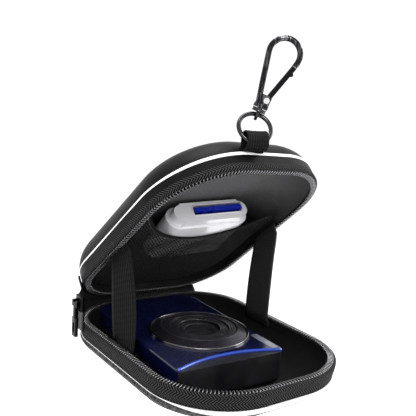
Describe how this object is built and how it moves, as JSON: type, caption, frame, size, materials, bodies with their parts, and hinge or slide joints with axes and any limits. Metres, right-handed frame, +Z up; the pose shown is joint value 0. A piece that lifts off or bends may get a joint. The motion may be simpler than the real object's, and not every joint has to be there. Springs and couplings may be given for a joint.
{
  "type": "compact camera in a zip carrying case",
  "caption": "Open hard-shell zip case on cloth stays, with a webbing loop, ring and swivel snap hook, holding a compact camera in its tray and a card reader in its mesh pocket.",
  "frame": {"origin": "centre of the tray's flat underside, on the surface it stands on", "axes": "+Z up; +Y from the tray's front edge to the hinge end; +X across the case to its right side"},
  "size_m": [0.1047, 0.1274, 0.1508],
  "materials": {
    "case_shell": "matte",
    "lining": "soft nap",
    "lid_lining": "velvety nap",
    "zip_tape": "herringbone twill",
    "piping": "smooth",
    "zip_coil": "satin",
    "gusset": "matte",
    "stay": "ribbed",
    "mesh": "open mesh",
    "webbing": "ribbed",
    "gunmetal": "polished",
    "bright_rivet": "polished",
    "dark_gate": "satin",
    "black_plastic": "fine texture",
    "blue_cover": "gloss",
    "flash_window": "gloss",
    "lens_chrome": "polished",
    "lens_bezel": "spun",
    "circuit": "satin",
    "screen_glass": "gloss",
    "battery_wrap": "satin",
    "brass_bush": "machined",
    "lens_barrel": "satin rings",
    "lens_glass": "coated",
    "white_plastic": "gloss",
    "card_plastic": "gloss"
  },
  "bodies": {
    "tray": {"tray_shell": "case_shell", "tray_lining": "lining", "tray_zip_band": "zip_tape", "tray_piping": "piping", "tray_zip_coil": "zip_coil", "hinge_spine": "gusset", "strap_left": "stay", "strap_right": "stay"},
    "lid": {"lid_shell": "case_shell", "lid_lining": "lid_lining", "lid_zip_band": "zip_tape", "lid_piping": "piping", "lid_zip_coil": "zip_coil", "mesh_pocket": "mesh", "pocket_binding": "stay", "webbing_loop": "webbing"},
    "ring": {"key_ring": "gunmetal"},
    "eye": {"swivel_eye": "gunmetal"},
    "hook": {"hook_frame": "gunmetal", "gate_rivet": "bright_rivet"},
    "gate": {"hook_gate": "dark_gate"},
    "slider": {"zip_slider": "dark_gate"},
    "puller": {"zip_puller": "dark_gate"},
    "camera": {"camera_rear": "black_plastic", "camera_front": "blue_cover", "flash_window": "flash_window", "flash_reflector": "bright_rivet", "timer_lamp": "flash_window", "lens_trim_ring": "lens_chrome", "lens_bezel": "lens_bezel", "lens_housing": "black_plastic", "image_sensor": "circuit", "main_board": "circuit", "lcd_panel": "black_plastic", "lcd_window": "screen_glass", "battery": "battery_wrap", "tripod_bush": "brass_bush", "case_screws": "bright_rivet"},
    "barrel_outer": {"lens_barrel_outer": "lens_barrel"},
    "barrel_inner": {"lens_barrel_inner": "lens_barrel", "lens_glass": "lens_glass", "lens_shutter_blades": "lens_barrel"},
    "shutter": {"shutter_button": "lens_chrome"},
    "power": {"power_button": "lens_chrome"},
    "zoom": {"zoom_lever": "lens_chrome"},
    "pad": {"control_pad": "black_plastic"},
    "menu": {"menu_button": "black_plastic"},
    "play": {"play_button": "black_plastic"},
    "door": {"battery_door": "black_plastic"},
    "reader": {"reader_top": "white_plastic", "reader_bottom": "white_plastic", "reader_board": "circuit"},
    "card": {"memory_card": "card_plastic"}
  },
  "joints": [
    {"name": "lid_hinge", "type": "hinge", "parent": "tray", "child": "lid", "pos_m": [0, 0.0592, 0.0157], "axis": [-0.9938, 0.0399, 0.1034], "range_deg": [-42.44, 0], "deforming": ["hinge_spine", "strap_left", "strap_right"]},
    {"name": "ring_swing", "type": "hinge", "parent": "lid", "child": "ring", "pos_m": [0.00059, -0.02489, 0.10738], "axis": [0.9336, -0.3584, 0], "range_deg": [-8, 75]},
    {"name": "eye_swing", "type": "hinge", "parent": "ring", "child": "eye", "pos_m": [0.00499, -0.01849, 0.11778], "axis": [0.7593, -0.5537, -0.342], "range_deg": [-30, 30]},
    {"name": "hook_spin", "type": "hinge", "parent": "eye", "child": "hook", "pos_m": [0.00604, -0.01925, 0.12135], "axis": [0.2763, -0.2015, 0.9397], "continuous": true},
    {"name": "gate_open", "type": "hinge", "parent": "hook", "child": "gate", "pos_m": [0.00767, -0.02045, 0.1237], "axis": [-0.5892, -0.808, 0], "range_deg": [0, 23], "stiffness_Nm_per_rad": 0.006},
    {"name": "slider_run", "type": "slide", "parent": "tray", "child": "slider", "axis": [0, -1, 0], "range_m": [0, 0.05]},
    {"name": "puller_swing", "type": "hinge", "parent": "slider", "child": "puller", "pos_m": [-0.0503, 0.033, 0.0262], "axis": [0, 1, 0], "range_deg": [0, 100]},
    {"name": "camera_lift", "type": "slide", "parent": "tray", "child": "camera", "axis": [0.4354, -0.5435, 0.7177], "range_m": [0, 0.024]},
    {"name": "lens_outer_slide", "type": "slide", "parent": "camera", "child": "barrel_outer", "axis": [0, 0, 1], "range_m": [0, 0.006]},
    {"name": "lens_inner_slide", "type": "slide", "parent": "barrel_outer", "child": "barrel_inner", "axis": [0, 0, 1], "range_m": [0, 0.005]},
    {"name": "shutter_press", "type": "slide", "parent": "camera", "child": "shutter", "axis": [-0.9991, 0.0422, 0], "range_m": [0, 0.0007], "stiffness_N_per_m": 800},
    {"name": "power_press", "type": "slide", "parent": "camera", "child": "power", "axis": [-0.9991, 0.0422, 0], "range_m": [0, 0.0005], "stiffness_N_per_m": 800},
    {"name": "zoom_turn", "type": "hinge", "parent": "camera", "child": "zoom", "pos_m": [0.01952, 0.03124, 0.0075], "axis": [0.9991, -0.0422, 0], "range_deg": [-25, 25], "stiffness_Nm_per_rad": 0.004},
    {"name": "pad_press", "type": "slide", "parent": "camera", "child": "pad", "axis": [0, 0, 1], "range_m": [0, 0.0005], "stiffness_N_per_m": 1000},
    {"name": "menu_press", "type": "slide", "parent": "camera", "child": "menu", "axis": [0, 0, 1], "range_m": [0, 0.0005], "stiffness_N_per_m": 800},
    {"name": "play_press", "type": "slide", "parent": "camera", "child": "play", "axis": [0, 0, 1], "range_m": [0, 0.0005], "stiffness_N_per_m": 800},
    {"name": "door_open", "type": "hinge", "parent": "camera", "child": "door", "pos_m": [-0.03448, 0.03252, 0.0101], "axis": [0.0422, 0.9991, 0], "range_deg": [0, 65]},
    {"name": "reader_slide", "type": "slide", "parent": "lid", "child": "reader", "axis": [-0.0419, -0.7402, 0.6711], "range_m": [0, 0.016]},
    {"name": "card_slide", "type": "slide", "parent": "reader", "child": "card", "axis": [-0.0419, -0.7402, 0.6711], "range_m": [0, 0.018]}
  ],
  "couplings": [
    {"joint": "lens_inner_slide", "follows": "lens_outer_slide", "ratio": 0.8333}
  ]
}
